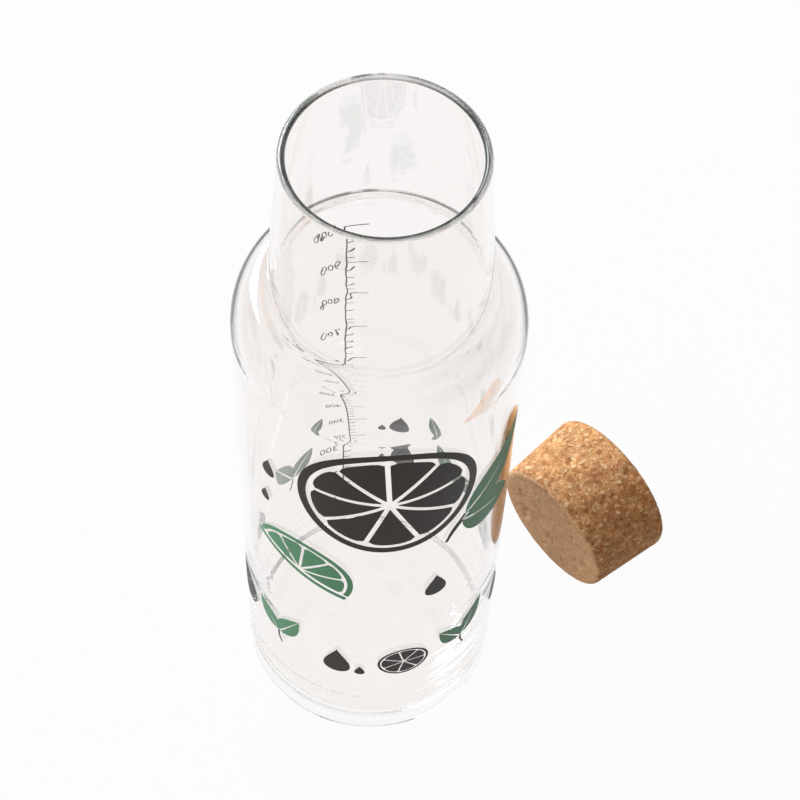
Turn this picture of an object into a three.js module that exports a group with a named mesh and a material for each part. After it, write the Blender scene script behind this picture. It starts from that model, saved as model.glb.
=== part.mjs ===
// Water carafe: a blown glass vessel and its tapered cork stopper, taken out and lying beside it.
// Millimetres, +Z up. The origin is the middle of the carafe's base on the table, and the front faces -Y.

import * as THREE from 'three';

// Glass carafe, from the base up
const bodyDiameter = 88;
const heelWidth = 20; // how far the rounded heel reaches in under the body
const heelHeight = 11;
const bodyHeight = 204.4; // base to the end of the straight wall
const shoulderHeight = 16;
const neckHeight = 61.6; // neck's foot to the top of the rim
const neckFootDiameter = 66.4;
const neckFillet = 2; // hollow curve where the neck grows out of the shoulder
const rimDiameter = 57.8;

// Glass thickness
const wallThickness = 2.4;
const rimThickness = 2.3;
const baseThickness = 9;
const innerHeelRadius = 14;

// Cork stopper
const stopperLength = 31.7;
const stopperSmallEdge = 1.5; // rounding of the end that goes in
const stopperLargeEdge = 3; // rounding of the end that is gripped
const stopperEntry = 0.5; // clearance of the small end inside the mouth
const stopperWedge = 2; // how far the large end stands out past the mouth

// Where the stopper lies: on its side, small end towards the carafe
const stopperAside = 44.6; // from the body's wall to the middle of the stopper
const stopperBearing = THREE.MathUtils.degToRad(27.8);
const stopperTurn = THREE.MathUtils.degToRad(40.9);

// Facets
const glassSides = 64;
const corkSides = 48;
const arcSteps = 8;
const smallArcSteps = 4; // the neck's fillet and the cork's edges

// Sizes that follow
const bodyRadius = bodyDiameter / 2;
const neckFootRadius = neckFootDiameter / 2;
const rimRadius = rimDiameter / 2;
const mouthRadius = rimRadius - rimThickness;
const rimRound = rimThickness / 2;
const neckStart = bodyHeight + shoulderHeight;
const carafeHeight = neckStart + neckHeight;
const neckLean = Math.atan2(neckFootRadius - rimRadius, neckHeight);
const quarter = Math.PI / 2;

// Points of an elliptical arc in the profile plane, both ends included
function arc(centre, radii, fromAngle, toAngle, steps) {
  const points = [];
  for (let step = 0; step <= steps; step += 1) {
    const angle = fromAngle + ((toAngle - fromAngle) * step) / steps;
    const r = centre.r + radii.r * Math.cos(angle);
    const z = centre.z + radii.z * Math.sin(angle);
    points.push(new THREE.Vector2(r, z));
  }
  return points;
}

// Radii of a round arc
function round(radius) {
  return { r: radius, z: radius };
}

// A profile of (radius, height) points turned about the upright axis
function turned(profile, sides) {
  const geometry = new THREE.LatheGeometry(profile, sides);
  geometry.rotateX(quarter);
  return geometry;
}

// The outside runs up from the middle of the base to the rim, and the inside runs back down
function glassCarafe() {
  const filletEnd = Math.PI + neckLean;
  const filletCentre = { r: neckFootRadius + neckFillet, z: neckStart + neckFillet };
  const heelCentre = { r: bodyRadius - heelWidth, z: heelHeight };
  const shoulderCentre = { r: filletCentre.r, z: bodyHeight };
  const shoulderRadii = { r: bodyRadius - filletCentre.r, z: shoulderHeight };
  const outside = [
    new THREE.Vector2(0, 0),
    ...arc(heelCentre, { r: heelWidth, z: heelHeight }, -quarter, 0, arcSteps),
    ...arc(shoulderCentre, shoulderRadii, 0, quarter, arcSteps),
    ...arc(filletCentre, round(neckFillet), 3 * quarter, filletEnd, smallArcSteps).slice(1),
  ];

  const rimCentre = { r: rimRadius - rimRound, z: carafeHeight - rimRound };
  const rim = arc(rimCentre, round(rimRound), 0, Math.PI, arcSteps);

  const innerRadius = bodyRadius - wallThickness;
  const innerFillet = neckFillet + wallThickness;
  const innerHeelCentre = { r: innerRadius - innerHeelRadius, z: baseThickness + innerHeelRadius };
  const innerShoulderRadii = { r: innerRadius - filletCentre.r, z: shoulderHeight - wallThickness };
  const inside = [
    ...arc(filletCentre, round(innerFillet), filletEnd, 3 * quarter, smallArcSteps),
    ...arc(shoulderCentre, innerShoulderRadii, quarter, 0, arcSteps).slice(1),
    ...arc(innerHeelCentre, round(innerHeelRadius), 0, -quarter, arcSteps),
    new THREE.Vector2(0, baseThickness),
  ];

  const glass = new THREE.MeshStandardMaterial({
    color: 0xf3f1ee,
    roughness: 0.04,
    metalness: 0,
    transparent: true,
    opacity: 0.35,
  });
  const mesh = new THREE.Mesh(turned([...outside, ...rim, ...inside], glassSides), glass);
  mesh.name = 'glass_carafe';
  return mesh;
}

// A cone with rounded ends, centred on its own middle, large end up
function corkStopper() {
  const smallRadius = mouthRadius - stopperEntry;
  const largeRadius = mouthRadius + stopperWedge;
  const taper = Math.atan2(largeRadius - smallRadius, stopperLength);
  const sideAt = (height) => smallRadius + height * Math.tan(taper);
  const edgeCentre = (height, radius) => ({ r: sideAt(height) - radius / Math.cos(taper), z: height });
  const smallEdge = edgeCentre(stopperSmallEdge, stopperSmallEdge);
  const largeEdge = edgeCentre(stopperLength - stopperLargeEdge, stopperLargeEdge);
  const profile = [
    new THREE.Vector2(0, 0),
    ...arc(smallEdge, round(stopperSmallEdge), -quarter, -taper, smallArcSteps),
    ...arc(largeEdge, round(stopperLargeEdge), -taper, quarter, smallArcSteps),
    new THREE.Vector2(0, stopperLength),
  ];
  const geometry = turned(profile, corkSides);
  geometry.translate(0, 0, -stopperLength / 2);

  const cork = new THREE.MeshStandardMaterial({
    color: 0xb98a5a,
    roughness: 0.9,
    metalness: 0,
  });
  const mesh = new THREE.Mesh(geometry, cork);
  mesh.name = 'cork_stopper';

  // The slanted side lies along the table
  const middleRadius = (smallRadius + largeRadius) / 2;
  mesh.rotation.y = quarter - taper;
  mesh.position.z = middleRadius * Math.cos(taper);
  return mesh;
}

const carafe = new THREE.Group();
carafe.add(glassCarafe());

const stopperPlace = new THREE.Group();
const stopperDistance = bodyRadius + stopperAside;
stopperPlace.position.x = stopperDistance * Math.cos(stopperBearing);
stopperPlace.position.y = stopperDistance * Math.sin(stopperBearing);
stopperPlace.rotation.z = stopperTurn;
stopperPlace.add(corkStopper());
carafe.add(stopperPlace);

export default carafe;
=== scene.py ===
import bpy
from math import asin, atan2, cos, degrees, pi, radians, sin, sqrt
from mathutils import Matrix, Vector, noise


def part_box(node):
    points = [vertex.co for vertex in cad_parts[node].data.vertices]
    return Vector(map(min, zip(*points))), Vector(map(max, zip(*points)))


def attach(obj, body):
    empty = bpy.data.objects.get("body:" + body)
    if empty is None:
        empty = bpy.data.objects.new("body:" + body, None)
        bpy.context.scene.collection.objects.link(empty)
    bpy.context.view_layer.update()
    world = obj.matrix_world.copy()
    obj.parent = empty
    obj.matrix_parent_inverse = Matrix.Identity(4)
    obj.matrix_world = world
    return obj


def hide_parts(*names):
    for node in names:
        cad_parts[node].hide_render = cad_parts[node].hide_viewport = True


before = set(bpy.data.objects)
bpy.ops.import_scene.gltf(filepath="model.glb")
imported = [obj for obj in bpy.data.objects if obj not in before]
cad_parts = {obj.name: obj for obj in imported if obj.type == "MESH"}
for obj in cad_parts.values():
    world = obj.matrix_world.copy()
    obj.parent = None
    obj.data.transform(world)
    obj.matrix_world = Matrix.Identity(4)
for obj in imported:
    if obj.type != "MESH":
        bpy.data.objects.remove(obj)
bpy.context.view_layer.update()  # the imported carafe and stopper, fixed in place
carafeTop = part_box("glass_carafe")[1]
print("frame loaded:", sorted(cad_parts))

mm = 0.001
mergeDistance = 0.001 * mm
nearDistance = 0.01 * mm  # close enough to count as on a surface or at a height
bodyRadius = carafeTop.x


# small helpers for working as by hand

def selectOnly(*objects):
    bpy.ops.object.select_all(action="DESELECT")
    for obj in objects:
        obj.select_set(True)
    bpy.context.view_layer.objects.active = objects[0]


def applyPlace(obj):
    selectOnly(obj)
    bpy.ops.object.transform_apply(location=True, rotation=True, scale=True)


def applyModifiers(obj):
    selectOnly(obj)
    for modifier in list(obj.modifiers):
        bpy.ops.object.modifier_apply(modifier=modifier.name)


def mergeAndFaceOut(obj):
    selectOnly(obj)
    bpy.ops.object.mode_set(mode="EDIT")
    bpy.ops.mesh.select_all(action="SELECT")
    bpy.ops.mesh.remove_doubles(threshold=mergeDistance)
    bpy.ops.mesh.normals_make_consistent(inside=False)
    bpy.ops.object.mode_set(mode="OBJECT")


def arcPoints(centre, radii, fromAngle, toAngle, steps):
    points = []
    for step in range(steps + 1):
        angle = radians(fromAngle + (toAngle - fromAngle) * step / steps)
        points.append((centre[0] + radii[0] * cos(angle), centre[1] + radii[1] * sin(angle)))
    return points


# small helpers for materials: an input is either a value or another node's output

def newMaterial(name, roughness):
    material = bpy.data.materials.new(name)
    material.use_nodes = True
    surface = material.node_tree.nodes["Principled BSDF"]
    surface.inputs["Roughness"].default_value = roughness
    return material, material.node_tree, surface


def addNode(tree, kind, settings=None, inputs=None):
    node = tree.nodes.new(kind)
    for key, value in (settings or {}).items():
        setattr(node, key, value)
    for key, source in (inputs or {}).items():
        if hasattr(source, "is_output"):
            tree.links.new(source, node.inputs[key])
        else:
            node.inputs[key].default_value = source
    return node


def objectPlace(tree):
    return addNode(tree, "ShaderNodeTexCoord").outputs["Object"]


def mathNode(tree, operation, first, second):
    return addNode(tree, "ShaderNodeMath", {"operation": operation}, {0: first, 1: second}).outputs[0]


def vectorNode(tree, operation, *inputs):
    return addNode(tree, "ShaderNodeVectorMath", {"operation": operation}, dict(enumerate(inputs)))


def mapRange(tree, value, limits):
    return addNode(tree, "ShaderNodeMapRange", None, {"Value": value, **limits}).outputs["Result"]


def noiseNode(tree, place, values):
    return addNode(tree, "ShaderNodeTexNoise", None, {"Vector": place, **values})


def rampNode(tree, stops, source):
    ramp = addNode(tree, "ShaderNodeValToRGB", None, {"Fac": source})
    elements = ramp.color_ramp.elements
    while len(elements) < len(stops):
        elements.new(0.5)
    for element, (position, colour) in zip(elements, stops):
        element.position = position
        element.color = (*colour, 1)
    return ramp.outputs["Color"]


def mixColours(tree, kind, factor, first, second):
    settings = {"data_type": "RGBA", "blend_type": kind}
    return addNode(tree, "ShaderNodeMix", settings, {0: factor, 6: first, 7: second}).outputs[2]


def addBump(tree, surface, height, values):
    bump = addNode(tree, "ShaderNodeBump", None, {"Height": height, **values})
    tree.links.new(bump.outputs["Normal"], surface.inputs["Normal"])


# glass carafe

carafeGlass = {
    "sides": 192,
    "heelWidth": 20 * mm,  # rounded heel, from the flat base out to the wall
    "heelHeight": 11 * mm,
    "bodyHeight": 204.4 * mm,
    "shoulderHeight": 16 * mm,
    "neckFootRadius": 33.2 * mm,
    "neckFillet": 2 * mm,  # as packed, it sets the slope of the neck and the middle of the shoulder's arc
    "footCurves": (5 * mm, 9 * mm),  # the neck's foot as blown, outside and inside
    "footSearch": (45.0, 90.0),  # degrees up the shoulder's arc where the foot may touch it
    "footTries": 40,
    "rimRadius": 28.9 * mm,
    "rimThickness": 2.3 * mm,
    "wall": 2.4 * mm,
    "base": 9 * mm,
    "innerHeel": 14 * mm,
    "arcSteps": 20,
    "smallArcSteps": 10,
    "support": 1.2 * mm,  # rings close to the ends of straight stretches
}

# broken waves that blowing leaves inside, low on the wall
wallWaves = {
    "depth": 0.24 * mm,
    "length": 6.4 * mm,  # from wave to wave, going up
    "spread": 120 * mm,  # how far one runs round the wall
    "start": 0.5 * mm,  # above the base
    "top": 118 * mm,
    "lean": 0.45,  # under 1, the waves are deepest near the bottom
    "step": 0.7 * mm,
}

# shallower ones up the inside of the neck
neckWaves = {
    "depth": 0.032 * mm,
    "length": 6 * mm,
    "spread": 22 * mm,
    "ease": 0.6,  # under 1, they keep their depth almost to the neck's ends
    "step": 0.8 * mm,
}

waveParts = ((1.5, 1), (3.1, 0.2))  # fineness and share of each


def wave(w, x, y, height):
    place = Vector((x / w["spread"], y / w["spread"], height / w["length"]))
    return w["depth"] * sum(share * noise.noise(place * fineness) for fineness, share in waveParts)


def supports(start, end):
    run = Vector(end) - Vector(start)
    step = run.normalized() * carafeGlass["support"]
    return [tuple(Vector(start) + step), tuple(Vector(end) - step)]


# a round curve that touches the neck's straight line and the shoulder's arc, and where on that arc
def footCurve(top, foot, centre, radii, curve):
    line = (Vector(foot) - Vector(top)).normalized()
    low, high = carafeGlass["footSearch"]
    for attempt in range(carafeGlass["footTries"]):
        touchAngle = (low + high) / 2
        along, up = cos(radians(touchAngle)), sin(radians(touchAngle))
        touch = Vector((centre[0] + radii[0] * along, centre[1] + radii[1] * up))
        away = Vector((along / radii[0], up / radii[1])).normalized()
        middle = touch + away * curve
        offset = middle - Vector(top)
        if offset.y * line.x - offset.x * line.y > curve:
            low = touchAngle
        else:
            high = touchAngle
    start = 180 + degrees(atan2(line.x, -line.y))
    end = 270 - degrees(atan2(away.x, away.y))
    return arcPoints(middle, (curve,) * 2, start, end, carafeGlass["smallArcSteps"]), touchAngle


def glassRings():
    g = carafeGlass
    steps = g["arcSteps"]
    neckStart = g["bodyHeight"] + g["shoulderHeight"]
    neckHeight = carafeTop.z - neckStart
    lean = degrees(atan2(g["neckFootRadius"] - g["rimRadius"], neckHeight))
    outerFoot, innerFoot = g["footCurves"]
    flatRadius = bodyRadius - g["heelWidth"]
    filletRadius = g["neckFootRadius"] + g["neckFillet"]
    filletCentre = (filletRadius, neckStart + g["neckFillet"])
    shoulderCentre = (filletRadius, g["bodyHeight"])
    rimRound = g["rimThickness"] / 2
    rimCentre = (g["rimRadius"] - rimRound, carafeTop.z - rimRound)
    innerRadius = bodyRadius - g["wall"]
    innerHeelCentre = (innerRadius - g["innerHeel"], g["base"] + g["innerHeel"])

    # outside, going up
    heel = arcPoints((flatRadius, g["heelHeight"]), (g["heelWidth"], g["heelHeight"]), -90, 0, steps)
    rim = arcPoints(rimCentre, (rimRound,) * 2, 0, 180, steps)
    lineEnd = arcPoints(filletCentre, (g["neckFillet"],) * 2, 180 + lean, 270, 1)[0]
    shoulderRadii = (bodyRadius - filletRadius, g["shoulderHeight"])
    foot, shoulderEnd = footCurve(rim[0], lineEnd, shoulderCentre, shoulderRadii, outerFoot)
    foot = foot[::-1][1:]
    shoulder = arcPoints(shoulderCentre, shoulderRadii, 0, shoulderEnd, steps)
    rings = [(flatRadius - g["support"], 0), *heel, *supports(heel[-1], shoulder[0]), *shoulder, *foot]
    rings += [*supports(foot[-1], rim[0]), *rim]

    # inside, going down
    innerFillet = g["neckFillet"] + g["wall"]
    lineEnd = arcPoints(filletCentre, (innerFillet,) * 2, 180 + lean, 270, 1)[0]
    shoulderRadii = (innerRadius - filletRadius, g["shoulderHeight"] - g["wall"])
    foot, shoulderEnd = footCurve(rim[-1], lineEnd, shoulderCentre, shoulderRadii, innerFoot)
    shoulder = arcPoints(shoulderCentre, shoulderRadii, shoulderEnd, 0, steps)[1:]
    heel = arcPoints(innerHeelCentre, (g["innerHeel"],) * 2, 0, -90, steps)
    neckTop, neckLow = supports(rim[-1], foot[0])
    neckRings = int((neckTop[1] - neckLow[1]) / neckWaves["step"])
    rings += [tuple(Vector(neckTop).lerp(neckLow, step / neckRings)) for step in range(neckRings + 1)]
    rings += [*foot, *shoulder, supports(shoulder[-1], heel[0])[0]]
    lowEnd = heel[0][1]
    waveRings = int((wallWaves["top"] - lowEnd) / wallWaves["step"])
    rings += [(innerRadius, lowEnd + step * wallWaves["step"]) for step in range(waveRings, 0, -1)]
    rings += [*heel, (heel[-1][0] - g["support"], g["base"])]
    return rings, neckTop, neckLow


def pressWaves(carafe, neckTop, neckLow):
    wallLimit = bodyRadius - carafeGlass["wall"] + nearDistance
    base, top = carafeGlass["base"], wallWaves["top"]
    for vertex in carafe.data.vertices:
        x, y, height = vertex.co
        radius = Vector((x, y)).length
        push = 0
        if base + wallWaves["start"] < height < top and radius < wallLimit:
            share = (height - base) / (top - base)
            push = sin(pi * share ** wallWaves["lean"]) ** 2 * wave(wallWaves, x, y, height)
        elif neckLow[1] < height < neckTop[1]:
            share = (height - neckLow[1]) / (neckTop[1] - neckLow[1])
            if abs(radius - Vector(neckLow).lerp(neckTop, share).x) < nearDistance:
                push = sin(pi * share) ** neckWaves["ease"] * wave(neckWaves, x, y, height)
        if push:
            vertex.co = (x * (1 + push / radius), y * (1 + push / radius), height)


def makeGlassCarafe():
    rings, neckTop, neckLow = glassRings()
    radius, height = rings[0]
    bpy.ops.object.select_all(action="DESELECT")
    bpy.ops.mesh.primitive_circle_add(
        vertices=carafeGlass["sides"], radius=radius, fill_type="NGON", location=(0, 0, height))
    carafe = bpy.context.object
    carafe.name = "carafeGlass"
    bpy.ops.object.mode_set(mode="EDIT")
    bpy.ops.mesh.select_all(action="SELECT")
    # the base's face rides along every ring and ends as the floor inside
    for nextRadius, nextHeight in rings[1:]:
        bpy.ops.mesh.extrude_region_move(TRANSFORM_OT_translate={"value": (0, 0, nextHeight - height)})
        grow = nextRadius / radius
        bpy.ops.transform.resize(value=(grow, grow, 1), center_override=(0, 0, 0))
        radius, height = nextRadius, nextHeight
    bpy.ops.object.mode_set(mode="OBJECT")
    applyPlace(carafe)
    mergeAndFaceOut(carafe)
    pressWaves(carafe, neckTop, neckLow)
    bpy.ops.object.shade_smooth()
    print("glass rings:", len(rings), "faces:", len(carafe.data.polygons))
    return carafe


glassFinish = {
    "colour": (0.955, 0.935, 0.925, 1),
    "ior": 1.5,
    "roughness": 0.0,
    "depthColour": (0.14, 0.14, 0.11, 1),  # what is left of light that runs far along the wall
    "depthDensity": 0.4,
    "lipPaintedShade": (0.02, 0.02, 0.019, 1),  # painted shade: the lip's inner edge is darkened in colour, standing in for the dark end of the room that it would gather
    "lipDepth": 1.05 * mm,
    "lipFade": 0.3 * mm,  # the painted shade's lower edge
    "lipReach": (1.35 * mm, 0.25 * mm),  # from the mouth outwards, in front and at the back
    "lipBlend": 0.25 * mm,  # the painted shade's outer edge, to each side
}


def clearGlass():
    f = glassFinish
    material, tree, surface = newMaterial("clearGlass", f["roughness"])
    place = objectPlace(tree)
    split = addNode(tree, "ShaderNodeSeparateXYZ", None, {0: place})
    flat = vectorNode(tree, "MULTIPLY", place, (1, 1, 0)).outputs[0]
    radius = vectorNode(tree, "LENGTH", flat).outputs["Value"]

    # the painted shade lies inside a limit that narrows towards the back, and near the top
    mouth = carafeGlass["rimRadius"] - carafeGlass["rimThickness"]
    front, back = f["lipReach"]
    reach = {"From Max": mouth, "To Min": mouth + front, "To Max": mouth + back}
    inside = mathNode(tree, "SUBTRACT", mapRange(tree, split.outputs["Y"], reach), radius)
    near = mapRange(tree, inside, {"From Min": -f["lipBlend"], "From Max": f["lipBlend"]})
    lipLow = carafeTop.z - f["lipDepth"]
    high = mapRange(tree, split.outputs["Z"], {"From Min": lipLow, "From Max": lipLow + f["lipFade"]})
    paintedShadeMask = mathNode(tree, "MULTIPLY", high, near)
    # painted shade: the glass colour is darkened at the lip's inner edge
    colourWithPaintedShade = mixColours(tree, "MIX", paintedShadeMask, f["colour"], f["lipPaintedShade"])
    tree.links.new(colourWithPaintedShade, surface.inputs["Base Color"])
    surface.inputs["Transmission Weight"].default_value = 1
    surface.inputs["IOR"].default_value = f["ior"]
    absorbing = {"Color": f["depthColour"], "Density": f["depthDensity"]}
    depth = addNode(tree, "ShaderNodeVolumeAbsorption", None, absorbing)
    tree.links.new(depth.outputs[0], tree.nodes["Material Output"].inputs["Volume"])
    return material


glassCarafe = makeGlassCarafe()
glassCarafe.data.materials.append(clearGlass())
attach(glassCarafe, "carafe")
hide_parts("glass_carafe")
print("glass carafe done")


# fired print, flat shapes first: x runs round the glass from the front, y runs up

def stencil(cells, place):
    bpy.ops.object.select_all(action="DESELECT")
    bpy.ops.mesh.primitive_grid_add(x_subdivisions=cells[0], y_subdivisions=cells[1], size=1)
    shape = bpy.context.object
    for vertex in shape.data.vertices:
        vertex.co = (*place(vertex.co.x + 0.5, vertex.co.y + 0.5), 0)
    return shape


def joined(shapes):
    selectOnly(*shapes)
    if len(shapes) > 1:
        bpy.ops.object.join()
    return bpy.context.object


def moved(shape, x, y, turn=0.0):
    shape.location = (x, y, 0)
    shape.rotation_euler = (0, 0, radians(turn))
    applyPlace(shape)
    return shape


def copied(shape):
    twin = shape.copy()
    twin.data = shape.data.copy()
    bpy.context.collection.objects.link(twin)
    return twin


citrusShape = {
    "rind": 0.1,  # shares of the radius
    "gap": 0.055,
    "tip": 1.15,  # how far out the wedges start, over 1 makes their tips blunt
    "cornerCut": 0.05,  # how much a wedge's outer corners are rounded off
    "cornerPower": 6,
    "wedgeCells": (9, 8),
    "rindCells": (24, 3),  # at least, and for each mm of radius
    "cutCells": (12, 2),
}


def rindBand(innerRadius, outerRadius, sweep, cells):
    def place(u, v):
        radius = innerRadius + (outerRadius - innerRadius) * u
        angle = radians(sweep * v)
        return radius * cos(angle), radius * sin(angle)
    return stencil((2, cells), place)


def wedge(radius, gap, middle, halfAngle):
    c = citrusShape
    tip = c["tip"] * gap / (2 * sin(radians(halfAngle)))

    def place(u, v):
        across = 2 * v - 1
        outer = radius * (1 - c["cornerCut"] * across ** c["cornerPower"])
        r = tip + (outer - tip) * u
        swing = radians(halfAngle) - asin(gap / (2 * r))
        angle = radians(middle) + across * swing
        return r * cos(angle), r * sin(angle)
    return stencil(c["wedgeCells"], place)


def citrus(radius, wedges, sweep=360):
    c = citrusShape
    rind = c["rind"] * radius
    gap = c["gap"] * radius
    least, perMm = c["rindCells"]
    shapes = [rindBand(radius - rind, radius, sweep, max(least, int(radius / mm) * perMm))]
    half = sweep / wedges / 2
    for count in range(wedges):
        shapes.append(wedge(radius - rind - gap, gap, half * (2 * count + 1), half))
    if sweep < 360:
        shapes.append(stencil(c["cutCells"], lambda u, v: ((2 * u - 1) * radius, -gap - rind * (1 - v))))
    return joined(shapes)


leafShape = {
    "swell": 0.85,  # under 1, the widest place lies nearer the root
    "roundness": 0.9,
    "taper": 0.25,
    "ribTaper": 0.7,
    "cells": (18, 4),
}


def leaf(length, width, rib):
    s = leafShape

    def edge(u):
        return width * sin(pi * u ** s["swell"]) ** s["roundness"] * (1 - s["taper"] * u)

    def upper(u, v):
        inner = min(rib * (1 - s["ribTaper"] * u), edge(u))
        return length * u, inner + (edge(u) - inner) * v

    def lower(u, v):
        x, y = upper(u, 1 - v)
        return x, -y
    return joined([stencil(s["cells"], upper), stencil(s["cells"], lower)])


dropShape = {
    "fullness": 1.3,
    "point": 1.6,  # how slender the upper end is
    "cells": (6, 18),
}


def drop(height, width):
    def place(u, v):
        turn = pi * v
        half = width / 2 * dropShape["fullness"] * sin(turn) * cos(turn / 2) ** dropShape["point"]
        return (2 * u - 1) * half, -height / 2 * cos(turn)
    return stencil(dropShape["cells"], place)


stemCells = (14, 2)


def stem(start, bend, end, width):
    def place(u, v):
        x = (1 - u) ** 2 * start[0] + 2 * u * (1 - u) * bend[0] + u ** 2 * end[0]
        y = (1 - u) ** 2 * start[1] + 2 * u * (1 - u) * bend[1] + u ** 2 * end[1]
        dx = 2 * (1 - u) * (bend[0] - start[0]) + 2 * u * (end[0] - bend[0])
        dy = 2 * (1 - u) * (bend[1] - start[1]) + 2 * u * (end[1] - bend[1])
        side = (v - 0.5) * width / sqrt(dx * dx + dy * dy)
        return x - dy * side, y + dx * side
    return stencil(stemCells, place)


# places are x, y and a turn in degrees, or x, y and a size for the drops
frontMotif = {
    "wheelRadius": 29 * mm,
    "wheelPlace": (5 * mm, 171 * mm, 13),
    "wedges": 9,
    "leafLengths": (38 * mm, 27 * mm),
    "leafWidth": 9.4 * mm,
    "leafRib": 0.55 * mm,
    "leafPlaces": ((31 * mm, 150 * mm, 34), (30 * mm, 147 * mm, -22)),
    "stemEnd": (-5.5 * mm, -9 * mm),  # from the leaf's root
    "stemBend": (-5 * mm, -6 * mm),
    "stemWidth": 1.3 * mm,
    "halfRadius": 18.5 * mm,
    "halfPlace": (-24 * mm, 118 * mm, -24),
    "halfWedges": 5,
    "drops": ((-36 * mm, 168 * mm, 9 * mm), (-38 * mm, 150 * mm, 6.5 * mm), (22 * mm, 112 * mm, 13 * mm)),
    "dropWidth": 0.66,  # share of the height
}


def frontShapes():
    f = frontMotif
    black = [moved(citrus(f["wheelRadius"], f["wedges"]), *f["wheelPlace"])]
    green = []
    for length, (x, y, turn) in zip(f["leafLengths"], f["leafPlaces"]):
        green.append(moved(leaf(length, f["leafWidth"], f["leafRib"]), x, y, turn))
        end = (x + f["stemEnd"][0], y + f["stemEnd"][1])
        bend = (x + f["stemBend"][0], y + f["stemBend"][1])
        black.append(stem(end, bend, (x, y), f["stemWidth"]))
    green.append(moved(citrus(f["halfRadius"], f["halfWedges"], 180), *f["halfPlace"]))
    for x, y, size in f["drops"]:
        black.append(moved(drop(size, f["dropWidth"] * size), x, y))
    return black, green


fillScale = {
    "bearing": 196,  # degrees round from the front, at the back
    "stepMl": 20,
    "longStepMl": 100,
    "topMl": 1000,
    "bottomMl": 100,
    "lineWidth": 0.55 * mm,
    "tickWidth": 0.35 * mm,
    "tickLength": 3 * mm,
    "longTickLength": 8 * mm,
    "digits": 5.2 * mm,
    "digitGap": 2 * mm,
    "digitCurves": 4,
    "barCells": (4, 2),
}


# the level of a volume of water: a cylinder less what the rounded inner heel takes away
def fillHeight(millilitres):
    g = carafeGlass
    innerRadius = bodyRadius - g["wall"]
    cornerArea = g["innerHeel"] ** 2 * (1 - pi / 4)
    cornerRadius = innerRadius - g["innerHeel"] * (10 - 3 * pi) / (3 * (4 - pi))
    lost = 2 * pi * cornerRadius * cornerArea
    return g["base"] + (millilitres * 1e-6 + lost) / (pi * innerRadius ** 2)


def bar(x, y, width, height):
    return stencil(fillScale["barCells"], lambda u, v: (x + width * (u - 0.5), y + height * (v - 0.5)))


def digitsShape(millilitres):
    bpy.ops.object.select_all(action="DESELECT")
    bpy.ops.object.text_add()
    digits = bpy.context.object
    digits.data.body = str(millilitres)
    digits.data.size = fillScale["digits"]
    digits.data.align_y = "CENTER"
    digits.data.resolution_u = fillScale["digitCurves"]
    bpy.ops.object.convert(target="MESH")
    return bpy.context.object


def scaleShapes():
    s = fillScale
    x = bodyRadius * radians(s["bearing"])
    top, bottom = fillHeight(s["topMl"]), fillHeight(s["bottomMl"])
    black = [bar(x, (top + bottom) / 2, s["lineWidth"], top - bottom + s["tickWidth"])]
    for millilitres in range(s["bottomMl"], s["topMl"] + 1, s["stepMl"]):
        length = s["longTickLength"] if millilitres % s["longStepMl"] == 0 else s["tickLength"]
        black.append(bar(x - length / 2, fillHeight(millilitres), length, s["tickWidth"]))
    for millilitres in range(s["bottomMl"], s["topMl"] + 1, s["longStepMl"]):
        black.append(moved(digitsShape(millilitres), x + s["digitGap"], fillHeight(millilitres)))
    return black


lowerBand = {
    "height": 62 * mm,
    "repeats": 4,
    "offset": 16,  # degrees round from the front
    "wheelRadius": 9 * mm,
    "wedges": 7,
    "leafLength": 19 * mm,
    "leafWidth": 4.6 * mm,
    "leafRib": 0.35 * mm,
    "leaves": ((1, 0, -1 * mm, 62), (0.8, -0.8 * mm, -1 * mm, 128)),  # share of the length, x, y and turn
    "stem": ((1.2 * mm, -8 * mm), (-0.6 * mm, -5 * mm), (-0.4 * mm, -1.2 * mm), 0.8 * mm),
    "dropHeight": 16.5 * mm,
    "dropWidth": 0.64,  # share of the height
    "bead": (6 * mm, 4 * mm),
    "beadPlace": (8 * mm, -5 * mm),
}


def bandShapes():
    b = lowerBand
    wheel = citrus(b["wheelRadius"], b["wedges"])
    leaves = []
    for share, x, y, turn in b["leaves"]:
        leaves.append(moved(leaf(b["leafLength"] * share, b["leafWidth"], b["leafRib"]), x, y, turn))
    sprig = joined(leaves)
    sprigStem = stem(*b["stem"])
    largeDrop = drop(b["dropHeight"], b["dropWidth"] * b["dropHeight"])
    drops = joined([largeDrop, moved(drop(*b["bead"]), *b["beadPlace"])])
    black, green = [], []
    pitch = 2 * pi * bodyRadius / (3 * b["repeats"])
    scaleAt = bodyRadius * radians(fillScale["bearing"])
    for count in range(b["repeats"]):
        x = bodyRadius * radians(b["offset"]) + 3 * count * pitch
        if abs(x - scaleAt) > pitch:  # the scale is kept clear
            black.append(moved(copied(wheel), x, b["height"]))
        green.append(moved(copied(sprig), x + pitch, b["height"]))
        black.append(moved(copied(sprigStem), x + pitch, b["height"]))
        black.append(moved(copied(drops), x - pitch, b["height"]))
    for pattern in (wheel, sprig, sprigStem, drops):
        bpy.data.objects.remove(pattern)
    return black, green


printCoat = {
    "lift": 0.05 * mm,  # how far the enamel stands out of the glass
    "bite": 0.03 * mm,  # and how far it reaches in
    "smoothAngle": 40,
    "black": (0.016, 0.0115, 0.0095),
    "green": (0.058, 0.215, 0.115),
    "toneSwing": 0.2,  # thinner and thicker places
    "roughness": 0.39,
    "roughnessSwing": 0.07,
    "shine": 0.12,
    "cloud": {"Scale": 900, "Detail": 4, "Roughness": 0.6},
    "cloudRange": (0.3, 0.7),
    "bump": {"Strength": 0.25, "Distance": 0.05 * mm},
}


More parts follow.
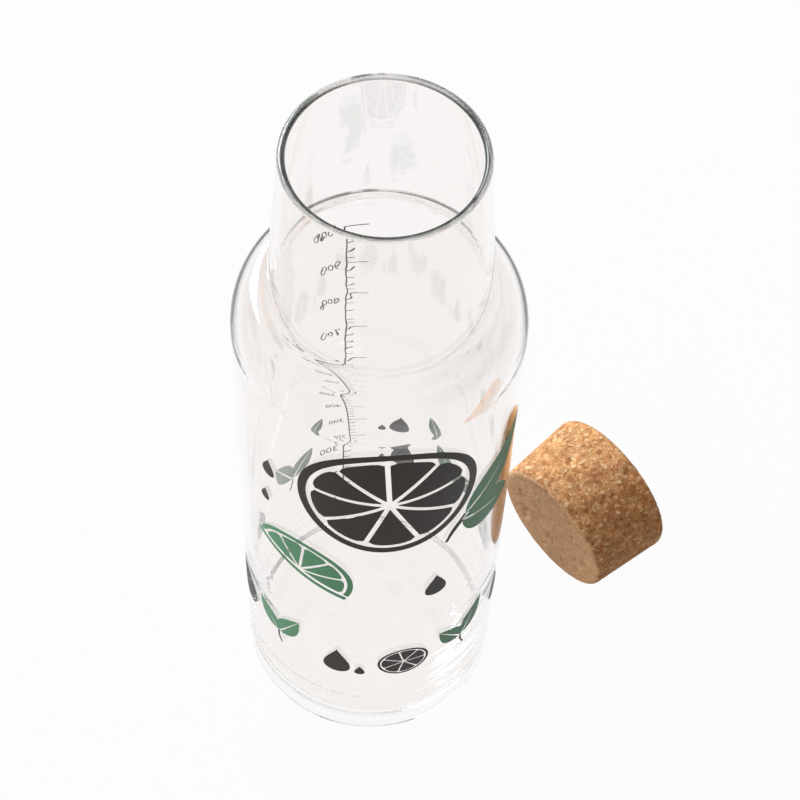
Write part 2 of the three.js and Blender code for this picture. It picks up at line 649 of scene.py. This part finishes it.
def enamel(name, colour):
    p = printCoat
    material, tree, surface = newMaterial(name, p["roughness"])
    surface.inputs["Specular IOR Level"].default_value = p["shine"]
    cloud = noiseNode(tree, objectPlace(tree), p["cloud"]).outputs["Fac"]

    def swinging(values, swings):
        stops = [(at, [value * swing for value in values]) for at, swing in zip(p["cloudRange"], swings)]
        return rampNode(tree, stops, cloud)

    tone = swinging(colour, (1 - p["toneSwing"], 1 + p["toneSwing"]))
    tree.links.new(tone, surface.inputs["Base Color"])
    sheen = swinging((1, 1, 1), (p["roughness"] - p["roughnessSwing"], p["roughness"] + p["roughnessSwing"]))
    tree.links.new(sheen, surface.inputs["Roughness"])
    addBump(tree, surface, cloud, p["bump"])
    return material


def coatGlass(name, shapes, colour):
    coat = joined(shapes)
    coat.name = name
    selectOnly(coat)
    bpy.ops.object.mode_set(mode="EDIT")
    bpy.ops.mesh.select_all(action="SELECT")
    bpy.ops.mesh.remove_doubles(threshold=nearDistance)
    bpy.ops.object.mode_set(mode="OBJECT")
    radius = bodyRadius + printCoat["lift"]
    for vertex in coat.data.vertices:
        angle = vertex.co.x / bodyRadius
        vertex.co = (radius * sin(angle), -radius * cos(angle), vertex.co.y)
    thickness = coat.modifiers.new("thickness", "SOLIDIFY")
    thickness.thickness = printCoat["lift"] + printCoat["bite"]
    thickness.offset = -1
    applyModifiers(coat)
    bpy.ops.object.shade_smooth_by_angle(angle=radians(printCoat["smoothAngle"]))
    coat.data.materials.clear()
    coat.data.materials.append(enamel(name + "Enamel", colour))
    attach(coat, "carafe")
    print(name, "faces:", len(coat.data.polygons))


frontBlack, frontGreen = frontShapes()
bandBlack, bandGreen = bandShapes()
coatGlass("blackPrint", frontBlack + bandBlack + scaleShapes(), printCoat["black"])
coatGlass("greenPrint", frontGreen + bandGreen, printCoat["green"])


# cork stopper

corkShape = {
    "length": 31.7 * mm,
    "smallRadius": 26.1 * mm,
    "largeRadius": 28.6 * mm,
    "smallEdge": 1.5 * mm,
    "smallEdgeSteps": 6,
    "largeEdge": 3 * mm,
    "largeEdgeSteps": 8,
    "sides": 128,
    "aside": 44.6 * mm,  # from the glass to the stopper's middle
    "bearing": 27.8,
    "turn": 40.9,
    "voxel": 0.55 * mm,
}

corkRelief = {
    "granuleSize": 1.7 * mm,
    "granuleDepth": 0.12 * mm,
    "pitSize": 3.4 * mm,
    "pitDetail": 1,
    "pitDepth": 0.5 * mm,
    "pitRange": (0.66, 0.78),  # where a pit begins in the cloud, and where it is full
}


def bevelRing(cork, height, width, segments):
    bpy.ops.object.mode_set(mode="EDIT")
    bpy.ops.mesh.select_mode(type="EDGE")
    bpy.ops.mesh.select_all(action="DESELECT")
    bpy.ops.object.mode_set(mode="OBJECT")
    vertices = cork.data.vertices
    for edge in cork.data.edges:
        edge.select = all(abs(vertices[i].co.z - height) < nearDistance for i in edge.vertices)
    bpy.ops.object.mode_set(mode="EDIT")
    bpy.ops.mesh.bevel(offset=width, offset_type="OFFSET", segments=segments, affect="EDGES")
    bpy.ops.object.mode_set(mode="OBJECT")


def corkTaper():
    return atan2(corkShape["largeRadius"] - corkShape["smallRadius"], corkShape["length"])


def corkPlace():
    c = corkShape
    distance = bodyRadius + c["aside"]
    bearing, turn = radians(c["bearing"]), radians(c["turn"])
    height = (c["smallRadius"] + c["largeRadius"]) / 2 * cos(corkTaper())
    middle = (distance * cos(bearing), distance * sin(bearing), height)
    axis = (cos(corkTaper()) * cos(turn), cos(corkTaper()) * sin(turn), sin(corkTaper()))
    return middle, axis


def sinkTexture(cork, name, texture, depth):
    relief = cork.modifiers.new(name, "DISPLACE")
    relief.texture = texture
    relief.texture_coords = "LOCAL"
    relief.mid_level = 0
    relief.strength = -depth


def makeCorkStopper():
    c, r = corkShape, corkRelief
    bpy.ops.object.select_all(action="DESELECT")
    bpy.ops.mesh.primitive_cone_add(
        vertices=c["sides"], radius1=c["smallRadius"], radius2=c["largeRadius"], depth=c["length"])
    cork = bpy.context.object
    cork.name = "corkStopper"
    bevelRing(cork, -c["length"] / 2, c["smallEdge"], c["smallEdgeSteps"])
    bevelRing(cork, c["length"] / 2, c["largeEdge"], c["largeEdgeSteps"])
    mergeAndFaceOut(cork)

    remesh = cork.modifiers.new("evenMesh", "REMESH")
    remesh.mode = "VOXEL"
    remesh.voxel_size = c["voxel"]
    remesh.use_smooth_shade = True

    # granules stand a little apart, and some have dropped out
    granules = bpy.data.textures.new("corkGranules", "VORONOI")
    granules.noise_scale = r["granuleSize"]
    sinkTexture(cork, "granules", granules, r["granuleDepth"])
    pits = bpy.data.textures.new("corkPits", "CLOUDS")
    pits.noise_scale = r["pitSize"]
    pits.noise_depth = r["pitDetail"]
    pits.use_color_ramp = True
    for element, position, shade in zip(pits.color_ramp.elements, r["pitRange"], (0, 1)):
        element.position = position
        element.color = (shade, shade, shade, 1)
    sinkTexture(cork, "pits", pits, r["pitDepth"])
    applyModifiers(cork)

    # laid on its slanted side, small end towards the carafe
    cork.rotation_euler = (0, pi / 2 - corkTaper(), radians(c["turn"]))
    cork.location = corkPlace()[0]
    applyPlace(cork)
    bpy.ops.object.shade_smooth()
    print("cork faces:", len(cork.data.polygons))
    return cork


corkFinish = {
    "roughness": 0.88,
    "granules": 760,  # cells per metre
    "warp": 2.6 * mm,
    "wobble": {"Scale": 520, "Detail": 3},
    "tones": (
        (0.0, (0.37, 0.155, 0.057)),
        (0.3, (0.5, 0.257, 0.1)),
        (0.7, (0.59, 0.345, 0.155)),
        (0.93, (0.66, 0.44, 0.23)),
        (1.0, (0.76, 0.58, 0.36)),
    ),
    "grain": {"Scale": 1900, "Detail": 5, "Roughness": 0.65},
    "grainTones": ((0.3, (0.62, 0.58, 0.55)), (0.7, (1.25, 1.25, 1.25))),
    "grainShare": 0.8,
    "seamTones": ((0.0, (0.55, 0.5, 0.46)), (0.16, (1, 1, 1))),
    "seamShare": 0.75,
    # painted shade: dark spots standing in for the shade inside open pits
    "pitShadeCloud": {"Scale": 620, "Detail": 2},
    "pitShadeStops": ((0.67, (0, 0, 0)), (0.76, (1, 1, 1))),
    "pitShadeTone": (0.15, 0.065, 0.025, 1),
    "patches": {"Scale": 150, "Detail": 2},
    "patchTones": ((0.35, (0.8, 0.78, 0.76)), (0.65, (1.08, 1.08, 1.08))),
    "endPaintedLightTone": (0.97, 0.63, 0.39, 1),  # painted light: the small end is made paler, standing in for the brighter light falling on that face
    "endPaintedLightShare": 0.38,
    "endPaintedLightEdge": (0.9 * mm, 0.3 * mm),  # from the end, where the painted light begins and is full
    "bump": {"Strength": 0.6, "Distance": 0.3 * mm},
}


def pressedCork():
    f = corkFinish
    material, tree, surface = newMaterial("pressedCork", f["roughness"])
    place = objectPlace(tree)

    # granules with uneven outlines
    wobble = noiseNode(tree, place, f["wobble"]).outputs["Color"]
    centred = vectorNode(tree, "SUBTRACT", wobble, (0.5, 0.5, 0.5)).outputs[0]
    warped = vectorNode(tree, "MULTIPLY_ADD", centred, (f["warp"],) * 3, place).outputs[0]
    granules = {"Vector": warped, "Scale": f["granules"]}
    cells = addNode(tree, "ShaderNodeTexVoronoi", None, granules)
    edges = addNode(tree, "ShaderNodeTexVoronoi", {"feature": "DISTANCE_TO_EDGE"}, granules)
    chance = addNode(tree, "ShaderNodeSeparateColor", None, {0: cells.outputs["Color"]})
    tone = rampNode(tree, f["tones"], chance.outputs[0])

    # fine grain inside each granule
    grain = noiseNode(tree, place, f["grain"]).outputs["Fac"]
    tone = mixColours(tree, "MULTIPLY", f["grainShare"], tone, rampNode(tree, f["grainTones"], grain))

    # dark seams, and painted shade in spots standing in for open pits
    seam = rampNode(tree, f["seamTones"], edges.outputs["Distance"])
    tone = mixColours(tree, "MULTIPLY", f["seamShare"], tone, seam)
    pitShadeMask = rampNode(tree, f["pitShadeStops"], noiseNode(tree, place, f["pitShadeCloud"]).outputs["Fac"])
    tone = mixColours(tree, "MIX", pitShadeMask, tone, f["pitShadeTone"])

    # broad patches, lighter and darker
    shade = rampNode(tree, f["patchTones"], noiseNode(tree, place, f["patches"]).outputs["Fac"])
    tone = mixColours(tree, "MULTIPLY", 1.0, tone, shade)

    # painted light on the small end, by how far along the stopper a point lies
    middle, axis = corkPlace()
    fromMiddle = vectorNode(tree, "SUBTRACT", place, middle).outputs[0]
    along = vectorNode(tree, "DOT_PRODUCT", fromMiddle, axis).outputs["Value"]
    begins, full = [edge - corkShape["length"] / 2 for edge in f["endPaintedLightEdge"]]
    paintedEndLight = mapRange(tree, along, {"From Min": begins, "From Max": full})
    tone = mixColours(tree, "MIX", mathNode(tree, "MULTIPLY", paintedEndLight, f["endPaintedLightShare"]), tone, f["endPaintedLightTone"])
    tree.links.new(tone, surface.inputs["Base Color"])
    addBump(tree, surface, grain, f["bump"])
    return material


corkStopper = makeCorkStopper()
corkStopper.data.materials.append(pressedCork())
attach(corkStopper, "stopper")
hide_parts("cork_stopper")
print("cork stopper done")


# floor, light and camera

studio = {
    "floorRadius": 4.0,
    "floorSides": 96,
    "floorColour": (0.33, 0.33, 0.33, 1),
    "floorGlow": 0.96,  # share of plain white seen by the camera and in the glass
    # each sky: where it is dim, its shades from the far side round to there, and its strength
    "lightSky": ((0.75, -0.35, 0.55), ((0.0, (1, 0.87, 0.78)), (0.6, (0.1, 0.07, 0.054))), 2.5),
    "glassSky": ((0.9, -0.2, 0.35), ((0.68, (1, 1, 1)), (0.97, (0.12, 0.12, 0.12))), 1),
    "bounces": 72,  # light runs far along inside the glass wall
}

backLeftLamp = {
    "location": (-0.9, 1.1, 1.2),
    "aim": (0.03, 0.02, 0.08),
    "size": 0.9,
    "power": 28,
    "colour": (0.91, 1, 1.03),
}

cameraPlace = {
    "location": (0, -0.36239, 0.73276),
    "angles": (32.334, -1.572, 1.3365),
    "lens": 97.67,
    "sensor": 36,
    "clipStart": 0.01,
}


def seenRays(tree):
    path = addNode(tree, "ShaderNodeLightPath").outputs
    first = mathNode(tree, "MAXIMUM", path["Is Camera Ray"], path["Is Glossy Ray"])
    return mathNode(tree, "MAXIMUM", first, path["Is Transmission Ray"])


def makeFloor():
    bpy.ops.object.select_all(action="DESELECT")
    bpy.ops.mesh.primitive_circle_add(
        vertices=studio["floorSides"], radius=studio["floorRadius"], fill_type="NGON")
    floor = bpy.context.object
    floor.name = "studioFloor"
    material = bpy.data.materials.new("paleFloor")
    material.use_nodes = True
    tree = material.node_tree
    tree.nodes.remove(tree.nodes["Principled BSDF"])
    matt = addNode(tree, "ShaderNodeBsdfDiffuse", None, {"Color": studio["floorColour"]}).outputs[0]
    glow = addNode(tree, "ShaderNodeEmission", None, {"Color": (1, 1, 1, 1), "Strength": 1}).outputs[0]
    share = mathNode(tree, "MULTIPLY", seenRays(tree), studio["floorGlow"])
    mix = addNode(tree, "ShaderNodeMixShader", None, {0: share, 1: matt, 2: glow})
    tree.links.new(mix.outputs[0], tree.nodes["Material Output"].inputs["Surface"])
    floor.data.materials.append(material)


def skyShade(tree, dimSide, stops, strength):
    direction = addNode(tree, "ShaderNodeTexCoord").outputs["Generated"]
    toDimSide = vectorNode(tree, "DOT_PRODUCT", direction, Vector(dimSide).normalized()).outputs["Value"]
    shade = {"Color": rampNode(tree, stops, toDimSide), "Strength": strength}
    return addNode(tree, "ShaderNodeBackground", None, shade).outputs[0]


def makeWorld():
    world = bpy.data.worlds.new("studioLight")
    bpy.context.scene.world = world
    world.use_nodes = True
    tree = world.node_tree
    tree.nodes.remove(tree.nodes["Background"])
    lightSky = skyShade(tree, *studio["lightSky"])
    glassSky = skyShade(tree, *studio["glassSky"])
    mix = addNode(tree, "ShaderNodeMixShader", None, {0: seenRays(tree), 1: lightSky, 2: glassSky})
    tree.links.new(mix.outputs[0], tree.nodes["World Output"].inputs["Surface"])


def makeLamp():
    b = backLeftLamp
    bpy.ops.object.select_all(action="DESELECT")
    bpy.ops.object.light_add(type="AREA", location=b["location"])
    lamp = bpy.context.object
    lamp.name = "backLeftLamp"
    lamp.data.size = b["size"]
    lamp.data.energy = b["power"]
    lamp.data.color = b["colour"]
    aim = Vector(b["aim"]) - Vector(b["location"])
    lamp.rotation_euler = aim.to_track_quat("-Z", "Y").to_euler()


def makeCamera():
    bpy.ops.object.select_all(action="DESELECT")
    bpy.ops.object.camera_add(location=cameraPlace["location"])
    camera = bpy.context.object
    camera.rotation_euler = [radians(angle) for angle in cameraPlace["angles"]]
    camera.data.lens = cameraPlace["lens"]
    camera.data.sensor_width = cameraPlace["sensor"]
    camera.data.clip_start = cameraPlace["clipStart"]
    bpy.context.scene.camera = camera


makeFloor()
makeWorld()
makeLamp()
makeCamera()
bpy.context.scene.view_settings.view_transform = "Standard"
bpy.context.scene.cycles.max_bounces = studio["bounces"]
bpy.context.scene.cycles.transmission_bounces = studio["bounces"]
bpy.context.scene.cycles.glossy_bounces = studio["bounces"]
print("studio done")
